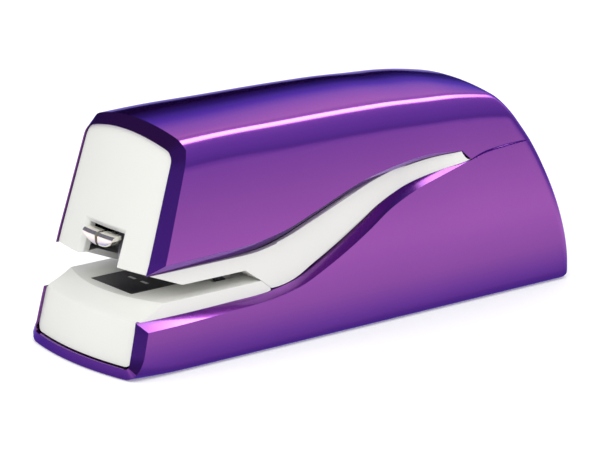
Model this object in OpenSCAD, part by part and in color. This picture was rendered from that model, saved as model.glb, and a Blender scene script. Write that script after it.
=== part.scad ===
// Battery-driven desk stapler. X is across, Y runs from the front (-Y) to the rear, Z is up.
// The origin is the middle of the footprint, on the surface that the feet stand on.

/* [Body] */
// Length over the front rim and the rear wall
body_l = 188.6; // [180:1:215]
// Width of the body at the foot
body_w = 58.6; // [57:0.2:72]
// Height of the crown over the feet
body_h = 76.6; // [75:0.5:84]
// How far each side leans in, in mm for each mm of height
side_draft = 0.04; // [0.02:0.01:0.05]
// How far the front bulges in plan, over the width of the body
front_bulge = 4; // [2:0.5:6]
// Lean of the front face from the vertical, in degrees
front_lean = 18; // [14:1:20]
// Drop of the crown from its middle to its shoulders
crown_drop = 4.2; // [2:0.2:6]
// Radius that rounds each shoulder
shoulder_r = 4; // [2:0.5:6]

/* [Shells] */
// Wall of the coloured housings
wall_t = 3.4; // [3:0.1:4]
// Step in from the coloured housings to the white mouldings
inset = 3.2; // [2.6:0.1:3.6]
// Wall of the white mouldings
white_t = 2; // [1.6:0.1:2.4]
// Thickness of the front cover
cover_t = 2.4; // [2:0.1:3]
// Gap at the seams between the shells
seam = 0.16; // [0.1:0.02:0.3]
// Height of the bottom edge of the shells over the table
ground_gap = 0.8; // [0.6:0.1:1.4]
// Thickness of the bottom cover
floor_t = 2.2; // [1.8:0.1:3]

/* [Throat] */
// Height of the deck that the paper lies on
deck_z = 22.5; // [21:0.1:23]
// Height of the paper throat
throat_h = 4.5; // [4.3:0.1:4.8]
// Where the throat ends, over the deck
throat_end = -37.4; // [-40:0.2:-36]
// Half width of the anvil plate
anvil_hw = 11; // [9:0.5:13]
// Y of the line on which staples are driven
staple_y = -67.6; // [-69:0.1:-67]

/* [Window] */
// Half width of the window for the magazine nose
window_hw = 9.2; // [9:0.1:11]
// Height of the top of the window
window_top = 41.8; // [41:0.2:44]
// Width of the bevel around the window
window_bevel = 1.8; // [1:0.1:2.4]

/* [Mechanism] */
// Y of the pivot shaft that carries the arm and the drive lever
pivot_y = 56; // [54:0.5:58]
// Height of the pivot shaft
pivot_z = 40; // [39.5:0.1:41]
// Radius of the pivot shaft
pivot_r = 2.5; // [2:0.1:3]
// How far the arm comes down at the staple line
arm_drop = 4.6; // [3:0.1:4.8]
// How far the driver blade goes down inside the arm
driver_stroke = 9.7; // [8:0.1:10]
// Thickness of the pressed steel of the arm, the lever and the chassis
steel_t = 1.5; // [1.2:0.1:1.6]
// Sliding gap between nested steel parts
slide_gap = 0.3; // [0.2:0.05:0.4]
// Radial clearance of a part that turns on a shaft
turn_gap = 0.05; // [0.02:0.01:0.1]

/* [Magazine] */
// Length of the magazine
magazine_l = 81.6; // [70:0.2:82]
// Half width of the magazine channel
magazine_hw = 7.8; // [7.4:0.1:7.9]
// Height of the underside of the magazine at rest
magazine_z = 28.4; // [28.2:0.1:28.8]
// Sheet thickness of the magazine
magazine_t = 0.8; // [0.6:0.1:1]
// Width of a staple over its crown
staple_w = 12.8; // [12:0.1:12.9]
// Height of a staple
staple_h = 6.5; // [6:0.1:6.8]
// Length of a full strip of staples
strip_l = 52; // [30:1:55]
// Length of the pusher
pusher_l = 8.8; // [6:0.2:10]

/* [Drive] */
// Radius of the motor can
motor_r = 9.8; // [9:0.1:9.9]
// Length of the motor can
motor_l = 27; // [20:0.5:30]
// Y of the motor axis
motor_y = -14; // [-15:0.5:-13]
// Height of the motor axis
motor_z = 14.7; // [14.6:0.1:14.8]
// Backlash between meshing teeth
backlash = 0.14; // [0.1:0.02:0.2]
// Radius of the stub axles
axle_r = 1.5; // [1.2:0.1:1.8]
// Radius of the crank pin
crank_pin_r = 1.5; // [1.2:0.1:1.8]

/* [Supply] */
// Diameter of a battery cell
cell_d = 14.5; // [14:0.1:14.6]
// Length of a battery cell without its nub
cell_l = 49.5; // [48:0.5:50]
// Y of the front wall of the battery tray
tray_y = 17; // [16:0.5:18]
// Wall of the battery tray
tray_t = 1.3; // [1:0.1:1.5]
// Radius of the hole in the supply socket
jack_bore_r = 2.8; // [2.5:0.1:3]
// Radius of the pin in the supply socket
jack_pin_r = 1.05; // [0.9:0.05:1.1]

/* [Hidden] */
$fn = 48;
big = 400;

purple = "#8A3FA0";
white = "#E9EAE5";
steel = "#A9ADB2";
dark_steel = "#3C3B3F";
black = "#232427";
brass = "#C8A24B";

// ---- outlines ----

function unit(v) = v / norm(v);

// The arc of radius r that rounds corner b between a and c
function corner(a, b, c, r, n = 6) =
    r == 0 ? [b] :
    let (u = unit(a - b), v = unit(c - b), half = acos(u * v) / 2,
        centre = b + unit(u + v) * r / sin(half),
        p = b + u * r / tan(half) - centre, q = b + v * r / tan(half) - centre,
        turn = 180 - 2 * half)
    [for (i = [0 : n]) centre + (sin(turn * (n - i) / n) * p + sin(turn * i / n) * q) / sin(turn)];

// A closed outline from corners [y, z, radius]
function rounded(p) =
    let (k = len(p), at = [for (c = p) [c[0], c[1]]])
    [for (i = [0 : k - 1]) each corner(at[(i + k - 1) % k], at[i], at[(i + 1) % k], p[i][2])];

// A plate from x0 to x1 whose outline lies in the YZ plane
module slab(x0, x1) {
    translate([x0, 0, 0]) rotate([90, 0, 90]) linear_extrude(x1 - x0) children();
}

// A pair of such plates, on the left and on the right
module slab_pair(x0, x1) {
    slab(x0, x1) children();
    slab(-x1, -x0) children();
}

// A round bar along X
module bar(x0, x1, y, z, r) {
    translate([x0, y, z]) rotate([0, 90, 0]) cylinder(r = r, h = x1 - x0);
}

module box(x0, x1, y0, y1, z0, z1) {
    translate([x0, y0, z0]) cube([x1 - x0, y1 - y0, z1 - z0]);
}

module post(x, y, z0, z1, r) {
    translate([x, y, z0]) cylinder(r = r, h = z1 - z0);
}

// ---- the outer form ----

front_y = -body_l / 2;
rear_y = body_l / 2;
head_z = 32.1;                      // foot of the head, over the throat
head_y = front_y + 9.7;             // front of the head at its foot
lean = tan(front_lean);
rim = wall_t;                        // chamfer between the front face and the crown
crown_y = head_y + (body_h - head_z) * lean;
rear_top = [64, body_h - 8.6];
rear_mid = [88.5, 28];
foot_z = ground_gap;

over_foot = [
    [front_y + 4.4, 18.5, 0], [head_y, head_z, 0],
    [crown_y - rim * lean, body_h - rim, 0], [crown_y + rim * 0.7, body_h - 0.1, 0],
    [4, body_h, 160], [rear_top[0], rear_top[1], 5], [rear_mid[0], rear_mid[1], 60],
    [rear_y, 8.5, 10]];
profile = rounded(concat([[front_y, foot_z, 2.4]], over_foot, [[rear_y, foot_z, 2.4]]));
// the same outline carried on below the foot, for what is open underneath
deep_profile = rounded(concat([[front_y, -10, 0], [front_y, foot_z, 0]], over_foot,
    [[rear_y, -10, 0]]));

function half_w(z) = body_w / 2 - side_draft * z;

// Cross-section under the crown, inset by t
module section(t) {
    top = body_h - t;
    side_z = top - crown_drop;
    w = half_w(side_z) - t;
    steps = 8;
    crown = [for (i = [1 : steps - 1])
        let (s = 1 - 2 * i / steps) [s * (w - 2), top - crown_drop * s * s * 0.9, 0]];
    polygon(rounded(concat([[-half_w(-20) + t, -20, 0], [half_w(-20) - t, -20, 0],
        [w, side_z, shoulder_r]], crown, [[-w, side_z, shoulder_r]])));
}

// The section swept level along Y, and down the slope of the rear crown
module section_bar(t) {
    slope = atan((body_h - rear_top[1]) / (rear_top[0] - 4));
    intersection() {
        translate([0, big / 2, 0]) rotate([90, 0, 0]) linear_extrude(big) section(t);
        translate([0, 4, body_h]) rotate([-slope, 0, 0]) translate([0, big / 2, -body_h])
            rotate([90, 0, 0]) linear_extrude(big) translate([0, -big / 4]) tall_section(t);
    }
}

// The same crown on straight sides, for the sloped sweep
module tall_section(t) {
    translate([0, big / 4]) {
        section(t);
        translate([-half_w(0) + t, -big / 4]) square([2 * (half_w(0) - t), big / 4]);
    }
}

// A long bar along Z whose near face is bulged towards -Y, with its crest at y
module bulged_bar(r, y) {
    translate([0, y, -big / 2]) linear_extrude(big)
        polygon(concat([for (x = [-40 : 4 : 40]) [x, r - sqrt(r * r - x * x)]],
            [[40, big], [-40, big]]));
}

// The front and rear faces, bulged in plan, inset by tf and tr
module ends(tf, tr) {
    front_r = (pow(body_w / 2, 2) + pow(front_bulge, 2)) / (2 * front_bulge);
    rear_r = 170;
    rear_lean = atan((rear_mid[0] - rear_top[0]) / (rear_top[1] - rear_mid[1]));
    intersection() {
        translate([0, head_y, head_z]) rotate([-front_lean, 0, 0]) bulged_bar(front_r, tf);
        translate([0, rear_y, 0]) mirror([0, 1, 0]) bulged_bar(rear_r, tr);
        translate([0, rear_mid[0] + 1.2, rear_mid[1]]) rotate([rear_lean, 0, 0])
            mirror([0, 1, 0]) bulged_bar(rear_r, tr);
    }
}

// The whole body as one solid, inset by t on every side
module body_form(t) {
    intersection() {
        section_bar(t);
        slab(-big, big) offset(delta = -t) polygon(profile);
        ends(t, t);
    }
}

// The room inside walls of thickness t, open underneath
module room(t) {
    intersection() {
        section_bar(t);
        slab(-big, big) offset(delta = -t) polygon(deep_profile);
        ends(t, t);
    }
}

// ---- seams between the shells ----

// Lower edge of the white band, from the front to its tip
low_corners = [[-33.6, 19.4, 0], [-26.2, 19.4, 27], [19.3, 43.8, 84], [48.3, 48.6, 0]];
// Upper edge of the white band
high_corners = [[-34.5, head_z, 60], [16.2, 50.25, 90], [44.2, 51.9, 0]];
tip = [46.6, 50.2];
seam_rear = [60, 51.3];

function open_round(p) =
    let (k = len(p), at = [for (c = p) [c[0], c[1]]])
    [for (i = [0 : k - 1])
        each (p[i][2] == 0 ? [at[i]] : corner(at[i - 1], at[i], at[i + 1], p[i][2]))];
function flip(p) = [for (i = [len(p) - 1 : -1 : 0]) p[i]];

low_edge = open_round(concat([[-60, 18.3, 0]], low_corners));
high_edge = open_round(concat([[-60, head_z, 0]], high_corners));
rear_seam = [tip, seam_rear, [big, seam_rear[1]]];

// Everything over the band, and everything under it
module over_band() {
    polygon(concat([[-big, big], [-big, head_z]], high_edge, rear_seam, [[big, big]]));
}
module under_band() {
    polygon(concat([[-big, -big], [-big, 18.3]], low_edge, rear_seam, [[big, -big]]));
}

roof_z = deck_z + throat_h;
band_front = [[head_y + 3.4, head_z], [-68.5, roof_z], [throat_end - 6.4, roof_z],
    [throat_end + seam, deck_z - seam]];
module band() {
    polygon(concat(band_front, [for (p = low_edge) if (p[0] > -34) p], [tip], flip(high_edge)));
}
module over_band_floor() {
    polygon(concat(band_front, [[big, deck_z], [big, big], [head_y + 3.4, big]]));
}

// ---- shells ----

chassis_x = 19.6;                       // inner face of each side plate
post_x = 21.7;
front_post_y = -29.8;
rear_post_y = 66;
floor_z = foot_z + floor_t;             // top of the bottom cover
nose_post = [19, -60];                  // screw that ties the mid frame to the upper housing
screw_r = 1.25;
jack_at = [-10, 10];
jack_nose_r = 4.6;
board_z = 7;
board_posts = [[-16, -76], [15, -76], [-16, -53]];
cover_posts = [[22.9, -62], [22.4, 78]];

module lower_housing() color(purple) {
    difference() {
        intersection() {
            body_form(0);
            slab(-big, big) offset(delta = -seam / 2) under_band();
        }
        room(wall_t);
        // opening that the white deck and its front wall fill
        intersection() {
            section_bar(inset - seam);
            box(-big, big, front_y - 1, -33.6, foot_z + 2.6, big);
        }
        translate([jack_at[0], rear_y, jack_at[1]]) rotate([90, 0, 0])
            cylinder(r = jack_nose_r + 0.2, h = 14);
    }
    difference() {
        union() for (s = [-1, 1]) {
            post(s * post_x, front_post_y, floor_z + 0.2, 16, 3);
            box(s > 0 ? post_x : -post_x - 4.6, s > 0 ? post_x + 4.6 : -post_x,
                front_post_y - 1, front_post_y + 1, floor_z + 0.2, 16);
            post(s * post_x, rear_post_y, floor_z + 0.2, 50.9, 3);
            for (c = cover_posts) post(s * c[0], c[1], floor_z + 0.2, 15, 3.4);
            box(s > 0 ? post_x : -post_x - 4.6, s > 0 ? post_x + 4.6 : -post_x,
                rear_post_y - 1, rear_post_y + 1, floor_z + 0.2, 30);
        }
        for (s = [-1, 1]) {
            post(s * post_x, front_post_y, 0, 20, screw_r);
            post(s * post_x, rear_post_y, 0, 60, screw_r);
            for (c = cover_posts) post(s * c[0], c[1], 0, 12, screw_r);
        }
    }
}

module upper_housing() color(purple) {
    difference() {
        intersection() {
            body_form(0);
            slab(-big, big) offset(delta = -seam / 2) over_band();
        }
        body_form(wall_t);
        // opening that the front cover fills
        intersection() {
            section_bar(inset - seam);
            slab(-big, big) polygon([[-big, 0], [head_y + 8 - head_z * lean, 0],
                [head_y + 8 + (body_h - rim - head_z) * lean, body_h - rim],
                [-big, body_h - rim]]);
        }
    }
    difference() {
        union() for (s = [-1, 1]) {
            post(s * nose_post[0], nose_post[1], 31.7, 46, 3);
            box(s > 0 ? nose_post[0] : -nose_post[0] - 6.2, s > 0 ? nose_post[0] + 6.2 : -nose_post[0],
                nose_post[1] - 1, nose_post[1] + 1, head_z + seam, 46);
            post(s * post_x, rear_post_y, 51.6, 58, 3);
        }
        for (s = [-1, 1]) {
            post(s * nose_post[0], nose_post[1], 30, 42, screw_r);
            post(s * post_x, rear_post_y, 50, 57, screw_r);
        }
    }
}

arm_slot = 10.6;
module mid_frame() color(white) {
    difference() {
        union() {
            difference() {
                intersection() {
                    section_bar(inset);
                    slab(-big, big) offset(delta = -seam / 2) band();
                }
                intersection() {
                    section_bar(inset + white_t);
                    union() {
                        slab(-big, big) offset(delta = -white_t) over_band_floor();
                        box(-big, big, throat_end + 1.5, big, 0, big);
                    }
                }
                box(-arm_slot, arm_slot, -big, throat_end + 4, 0, big);
            }
            for (s = [-1, 1]) {
                post(s * post_x, front_post_y, 19.8, 30, 3);
                post(s * nose_post[0], nose_post[1], roof_z + 0.2, 31.5, 3);
            }
        }
        for (s = [-1, 1]) {
            post(s * post_x, front_post_y, 19, 27, screw_r);
            post(s * nose_post[0], nose_post[1], 20, 33, screw_r);
            post(s * nose_post[0], nose_post[1], 20, roof_z + 1.4, 2.5);
        }
        // room for the paper trigger as it tips back
        box(trigger_x - trigger_slot, trigger_x + trigger_slot, -51, -36.6, 0, roof_z + 2.6);
    }
}

module front_cover() color(white) {
    difference() {
        intersection() {
            section_bar(inset);
            slab(-big, big) polygon(profile);
            ends(0, 0);
            box(-big, big, -big, 0, head_z, body_h - rim - seam);
        }
        ends(cover_t, 0);
        box(-window_hw, window_hw, -big, 0, 0, window_top);
        // splayed bevel around the window
        window_y = head_y + (window_top - head_z) * lean;
        hull() {
            box(-window_hw - window_bevel, window_hw + window_bevel, window_y - 8, window_y - 7.9,
                0, window_top + window_bevel);
            box(-window_hw - window_bevel, window_hw + window_bevel, window_y - 0.4,
                window_y - 0.3, 0, window_top + window_bevel);
            box(-window_hw, window_hw, window_y + 1.4, window_y + 1.5, 0, window_top);
        }
    }
}

apron_y = front_y + 12.2;
deck_outline = [[front_y + 0.9, foot_z + 2.8, 0], [front_y + 4.9, 18.4, 1.5], [apron_y, deck_z, 6],
    [throat_end, deck_z, 0], [-33.8, 19.6, 0], [-33.8, 18.5, 0], [-33.8, foot_z + 2.8, 0]];
deck_flat = [for (c = deck_outline) [c[0], c[1]]];
trigger_x = 15;
trigger_slot = 2.2;                     // half width of the slots that the trigger moves in
module base_deck() color(white) {
    difference() {
        union() {
            intersection() {
                section_bar(inset);
                slab(-big, big) polygon(rounded(deck_outline));
                ends(0.9, 0);
                union() {
                    box(-big, big, -big, big, 18.4, big);
                    box(-big, big, -big, front_y + 8.5, 0, big);
                }
            }
            // lugs that carry the trigger pin
            for (x = [trigger_x - 4, trigger_x + 2.4])
                slab(x, x + 1.6) polygon([[-43, 21], [-37, 21], [-38.4, 12.6], [-41.6, 12.6]]);
        }
        intersection() {
            section_bar(inset + white_t);
            slab(-big, trigger_x - 4.1) offset(delta = -white_t) polygon(deck_flat);
            ends(0.9 + white_t, 0);
        }
        intersection() {
            section_bar(inset + white_t);
            slab(trigger_x + 4.1, big) offset(delta = -white_t) polygon(deck_flat);
            ends(0.9 + white_t, 0);
        }
        intersection() {
            slab(trigger_x - 2.4, trigger_x + 2.4) offset(delta = -white_t) polygon(deck_flat);
            ends(0.9 + white_t, 0);
        }
        intersection() {
            slab(trigger_x - 4.2, trigger_x + 4.2) offset(delta = -white_t) polygon(deck_flat);
            ends(0.9 + white_t, 0);
            box(-big, big, -big, -44, 0, big);
        }
        box(-big, big, -35.6, -30, 0, 17.5);
        bar(trigger_x - 5, trigger_x + 5, trigger_at[0], trigger_at[1], trigger_pin_r);
        box(trigger_x - trigger_slot, trigger_x + trigger_slot, -50.2, -41.2, 18, 30);
        box(-anvil_hw - 0.1, anvil_hw + 0.1, -78.2, -55.9, deck_z - 1.5, 30);
        // driven staples and their clinch hollow clear the deck here
        box(-6, 6, staple_y - 1.5, staple_y + 1.5, 15, 30);
    }
}

module anvil_plate() color(dark_steel) {
    difference() {
        box(-anvil_hw, anvil_hw, -78.1, -56, deck_z - 1.4, deck_z + 0.1);
        for (s = [-1, 1]) translate([s * 3.3, staple_y - 0.7, deck_z + 3.2])
            rotate([-90, 0, 0]) cylinder(r = 3.7, h = 1.4);
    }
}

door = [[-15.2, 15.2], [tray_y + 1.5, tray_y + 58]];
module bottom_cover() color(black) {
    difference() {
        union() {
            intersection() {
                room(wall_t + seam);
                box(-big, big, -big, big, foot_z, floor_z);
            }
            // pads under the chassis, posts under the board
            for (x = [-16.8, 16.8], y = [-23, 11]) post(x, y, floor_z - 0.5, floor_z + 0.4, 3.4);
            for (p = board_posts) post(p[0], p[1], floor_z - 0.5, board_z, 2.6);
            post(0, spring_y, floor_z - 0.5, spring_z0, 4);
            post(0, spring_y, spring_z0 - 0.5, spring_z0 + 3, 1.9);
        }
        box(door[0][0] - 0.3, door[0][1] + 0.3, door[1][0] - 0.3, door[1][1] + door_travel + 0.6, -1, 10);
        for (s = [-1, 1]) {
            post(s * post_x, front_post_y, -1, 10, screw_r + 0.2);
            post(s * post_x, rear_post_y, -1, 10, screw_r + 0.2);
            for (y = [front_post_y, rear_post_y]) post(s * post_x, y, -1, floor_z - 0.8, 2.6);
            for (c = cover_posts) {
                post(s * c[0], c[1], -1, 10, screw_r + 0.2);
                post(s * c[0], c[1], -1, floor_z - 0.8, 2.3);
            }
            for (y = foot_ys) post(s * foot_x, y, -1, foot_z + 0.8, foot_r + 0.1);
        }
        for (x = [-16.8, 16.8], y = [-23, 11]) post(x, y, foot_z + 0.5, 10, 0.95);
        for (p = board_posts) post(p[0], p[1], foot_z + 0.5, 10, 0.85);
    }
}

foot_x = 19;
foot_ys = [-80, 84];
foot_r = 4.4;
module feet() color(black) {
    for (s = [-1, 1], y = foot_ys) post(s * foot_x, y, 0, foot_z + 0.7, foot_r);
}

door_travel = 5;
module battery_door() color(black) {
    box(door[0][0], door[0][1], door[1][0], door[1][1], foot_z, foot_z + 1.6);
    // ribs that a thumb pushes on
    for (i = [0 : 4]) box(-6, 6, door[1][0] + 6 + 2 * i, door[1][0] + 7 + 2 * i,
        foot_z + 1.4, foot_z + 2);
}

// ---- power ----

tray_hw = cell_d + tray_t + 0.2;
tray_z = floor_z - 0.4;
tray_end = tray_y + cell_l + 7.6;
tray_top = tray_z + 2 * cell_d + tray_t + 0.7;
cell_at = [for (x = [-1, 1], k = [0, 1])
    [x * (cell_d / 2 + 0.1), tray_z + 0.3 + cell_d / 2 + k * (cell_d + 0.1)]];
cell_y = tray_y + 4;

module battery_tray() color(black) {
    difference() {
        box(-tray_hw, tray_hw, tray_y, tray_end, floor_z + 0.2, tray_top);
        box(-tray_hw + tray_t, tray_hw - tray_t, tray_y + tray_t, tray_end - tray_t, 0,
            tray_top - tray_t);
    }
}

module cell(flip_it) {
    rotate([flip_it ? 90 : -90, 0, 0]) {
        translate([0, 0, -cell_l / 2]) cylinder(d = cell_d, h = cell_l);
        translate([0, 0, cell_l / 2 - 0.2]) cylinder(r = 2.7, h = 1.2);
    }
}

module batteries() color("#3E7F4F") {
    for (i = [0 : 3]) translate([cell_at[i][0], cell_y + cell_l / 2, cell_at[i][1]])
        cell(i % 2 == 0);
}

// A round wire wound along Z
module coil(r, wire, turns, h, sides = 6, per_turn = 14) {
    n = ceil(turns * per_turn);
    at = function (i) let (a = 360 * i / per_turn) [r * cos(a), r * sin(a), wire + (h - 2 * wire) * i / n];
    ring = function (i) let (a = 360 * i / per_turn, c = at(i))
        [for (k = [0 : sides - 1]) let (b = 360 * k / sides)
            c + wire * [cos(b) * cos(a), cos(b) * sin(a), sin(b)]];
    points = [for (i = [0 : n]) each ring(i)];
    faces = concat(
        [[for (k = [0 : sides - 1]) k]],
        [for (i = [0 : n - 1], k = [0 : sides - 1]) let (j = (k + 1) % sides)
            each [[i * sides + k, (i + 1) * sides + k, (i + 1) * sides + j],
                [i * sides + k, (i + 1) * sides + j, i * sides + j]]],
        [[for (k = [sides - 1 : -1 : 0]) n * sides + k]]);
    polyhedron(points, faces);
}

module battery_springs() color(steel) {
    for (i = [0 : 3])
        translate([cell_at[i][0], i % 2 == 0 ? cell_y + cell_l + 0.1 : cell_y - 0.1, cell_at[i][1]])
        rotate([i % 2 == 0 ? -90 : 90, 0, 0]) coil(3, 0.3, 2, i % 2 == 0 ? 1.75 : 2.15, 6, 12);
}

module battery_contacts() color(brass) {
    for (x = [-1, 1]) {
        box(x * (cell_d / 2 + 0.1) - 4, x * (cell_d / 2 + 0.1) + 4, tray_y + tray_t,
            tray_y + tray_t + 0.4, cell_at[0][1] - 4, cell_at[1][1] + 4);
        box(x * (cell_d / 2 + 0.1) - 4, x * (cell_d / 2 + 0.1) + 4, tray_end - tray_t - 0.4,
            tray_end - tray_t, cell_at[0][1] - 4, cell_at[1][1] + 4);
    }
}

// ---- chassis ----

chassis_t = 1.2;
chassis_z = floor_z + 0.4;
spacers = [[-20, 64.8], [40, 56]];
spacer_r = 1.8;
plate = [[-26, chassis_z, 0], [14, chassis_z, 2], [19, 35, 4], [62, 35, 3], [62, 45, 3],
    [42, 59, 4], [16, 67, 6], [-24, 67, 4], [-26, 40, 0]];

module chassis() color(steel) {
    difference() {
        union() {
            slab_pair(chassis_x, chassis_x + chassis_t) polygon(rounded(plate));
            box(-chassis_x - 0.1, chassis_x + 0.1, -26, 13, chassis_z, chassis_z + chassis_t);
        }
        bar(-30, 30, pivot_y, pivot_z, pivot_r + 0.02);
        for (p = spacers) bar(-30, 30, p[0], p[1], 1.1);
        for (g = gear_at) bar(0, 30, g[0], g[1], axle_r + 0.01);
        for (x = [-16.8, 16.8], y = [-23, 11]) post(x, y, 0, 10, 1.2);
        for (y = bracket_feet) post(10.2, y, 0, 10, 0.9);
    }
}

module chassis_spacers() color(steel) {
    for (p = spacers) {
        bar(-chassis_x, chassis_x, p[0], p[1], spacer_r);
        bar(-chassis_x - chassis_t - 0.6, chassis_x + chassis_t + 0.6, p[0], p[1], 1.08);
    }
}

module pivot_shaft() color(steel) {
    difference() {
        bar(-23, 23, pivot_y, pivot_z, pivot_r);
        for (s = [-1, 1]) translate([s * 21.4, pivot_y, pivot_z]) rotate([0, 90, 0])
            difference() {
                cylinder(r = 4, h = 0.8, center = true);
                cylinder(r = pivot_r - 0.5, h = 2, center = true);
            }
    }
}

module pivot_clips() color(black) {
    for (s = [-1, 1]) translate([s * 21.4, pivot_y, pivot_z]) rotate([0, 90, 0]) difference() {
        cylinder(r = 4.2, h = 0.7, center = true);
        cylinder(r = pivot_r - 0.48, h = 2, center = true);
        translate([-1.2, 0, -2]) cube([2.4, 6, 4]);
    }
}

arm_x = magazine_hw + 0.6;              // inner face of each arm side
lever_x = arm_x + steel_t + slide_gap;  // inner face of each lever side

module pivot_bushes() color("#D8D2C0") {
    for (s = [-1, 1]) difference() {
        x0 = lever_x + steel_t + 0.2;
        bar(s > 0 ? x0 : -chassis_x + 0.2, s > 0 ? chassis_x - 0.2 : -x0, pivot_y, pivot_z, 4);
        bar(-30, 30, pivot_y, pivot_z, pivot_r + turn_gap);
    }
}

// ---- gears ----

function inv_angle(rb, r) = r <= rb ? 0 : sqrt(pow(r / rb, 2) - 1) * 180 / PI - acos(rb / r);

// Outline of an involute gear with one tooth on the first axis
function gear_outline(teeth, m, pressure = 24) =
    let (rp = teeth * m / 2, rb = rp * cos(pressure), tip_r = rp + 0.82 * m, root_r = rp - 1.2 * m,
        half = 90 / teeth - backlash / 2 / rp * 180 / PI / 2 + inv_angle(rb, rp),
        low = max(rb, root_r), rs = [for (i = [0 : 4]) low + (tip_r - low) * i / 4],
        slim = root_r < rb ? 0.74 : 1)
    [for (k = [0 : teeth - 1]) let (c = 360 * k / teeth)
        each concat(
            [root_r * [cos(c - half * slim), sin(c - half * slim)]],
            [for (r = rs) let (a = c - half + inv_angle(rb, r)) r * [cos(a), sin(a)]],
            [for (r = [rs[4], rs[3], rs[2], rs[1], rs[0]]) let (a = c + half - inv_angle(rb, r))
                r * [cos(a), sin(a)]],
            [root_r * [cos(c + half * slim), sin(c + half * slim)]])];

// Turn of a gear so that it meshes with one turned by a, which sees it in direction dir
function mesh_turn(dir, a, za, zb) = dir + 180 - 180 / zb + (((dir - a) * za) % 360) / zb;

m1 = 0.5;
m2 = 0.6;
m3 = 0.7;
pinion_z = 10;
first_z = 50;
first_small_z = 12;
second_z = 48;
second_small_z = 12;
crank_z = 40;
dir1 = 25.7;
dir2 = 80;
dir3 = 125;
at_motor = [motor_y, motor_z];
at_first = at_motor + m1 * (pinion_z + first_z) / 2 * [cos(dir1), sin(dir1)];
at_second = at_first + m2 * (first_small_z + second_z) / 2 * [cos(dir2), sin(dir2)];
at_crank = at_second + m3 * (second_small_z + crank_z) / 2 * [cos(dir3), sin(dir3)];
gear_at = [at_first, at_second, at_crank];
turn_first = mesh_turn(dir1, 0, pinion_z, first_z);
turn_second = mesh_turn(dir2, 0, first_small_z, second_z);
turn_crank = mesh_turn(dir3, 0, second_small_z, crank_z);
plane_a = [12.5, 14.5];                 // crank gear and small wheel of the second gear
plane_b = [14.9, 16.7];                 // second gear and small wheel of the first gear
plane_c = [17.1, 18.9];                 // first gear and motor pinion
bracket_x = 12.6;
axle_in = 12.3;
hub_r = 2.8;

module wheel(x0, x1, at, turn, teeth, m) {
    translate([0, at[0], at[1]]) slab(x0, x1) rotate(turn) polygon(gear_outline(teeth, m));
}

module gear_bore(at) {
    bar(0, 30, at[0], at[1], axle_r + turn_gap);
}

module motor_pinion() color(brass) {
    difference() {
        wheel(plane_c[0], plane_c[1], at_motor, 0, pinion_z, m1);
        bar(0, 30, motor_y, motor_z, 1);
    }
    bar(bracket_x - 2, plane_c[1], motor_y, motor_z, 1);
}

module first_gear() color(white) difference() {
    union() {
        wheel(plane_c[0], plane_c[1], at_first, turn_first, first_z, m1);
        wheel(plane_b[0], plane_c[0], at_first, 0, first_small_z, m2);
        bar(plane_c[1] - 0.1, chassis_x - 0.2, at_first[0], at_first[1], hub_r);
    }
    gear_bore(at_first);
}

module second_gear() color(white) difference() {
    union() {
        wheel(plane_b[0], plane_b[1], at_second, turn_second, second_z, m2);
        wheel(plane_a[0], plane_b[0], at_second, 0, second_small_z, m3);
        bar(plane_b[1] - 0.1, chassis_x - 0.2, at_second[0], at_second[1], hub_r);
    }
    gear_bore(at_second);
}

// Lever and arm swing, in degrees, as the crank goes through half a turn
arm_swing = asin(arm_drop / (pivot_y - staple_y));
driver_pin = [staple_y + 5.6, 56.5];
pin_drop = (pivot_y - driver_pin[0]) * sin(arm_swing) + driver_stroke;
lever_swing = asin(pin_drop / (pivot_y - driver_pin[0]));
crank_r = (pivot_y - at_crank[0]) * sin(lever_swing) / 2;

module crank_gear() color(white) {
    difference() {
        union() {
            wheel(plane_a[0], plane_a[1], at_crank, turn_crank, crank_z, m3);
            bar(plane_a[1] - 0.1, chassis_x - 0.2, at_crank[0], at_crank[1], hub_r);
            bar(plane_a[0] - 2.5, plane_a[0] + 0.1, at_crank[0], at_crank[1] + crank_r, crank_pin_r);
        }
        gear_bore(at_crank);
    }
}

module gear_axles() color(steel) {
    for (g = gear_at) bar(g == at_first ? bracket_x : axle_in, chassis_x + chassis_t + 0.5, g[0], g[1], axle_r);
}

module axle_clips() color(black) {
    for (g = gear_at) difference() {
        bar(chassis_x + chassis_t + 0.05, chassis_x + chassis_t + 0.65, g[0], g[1], 3);
        bar(0, 30, g[0], g[1], axle_r + 0.01);
    }
}

bracket_feet = [-22.7, 5];
module motor_bracket() color(steel) difference() {
    union() {
        slab(bracket_x, bracket_x + chassis_t) polygon(rounded([[-25, chassis_z + chassis_t, 0],
            [9, chassis_z + chassis_t, 0], [9, 22, 3], [4, 26, 3], [-22, 26, 4]]));
        for (y = bracket_feet) box(7.5, bracket_x + 0.1, y - 2.8, y + 2.8,
            chassis_z + chassis_t, chassis_z + 2 * chassis_t);
    }
    bar(0, 30, motor_y, motor_z, 3.1);
    bar(0, 30, at_first[0], at_first[1], axle_r + 0.01);
    for (s = [-1, 1]) bar(0, 30, motor_y, motor_z + s * 6.5, 1);
    for (y = bracket_feet) post(10.2, y, 0, 10, 0.9);
    bar(0, bracket_x - 0.05, motor_y, motor_z, motor_r + 0.3);
}

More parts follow.
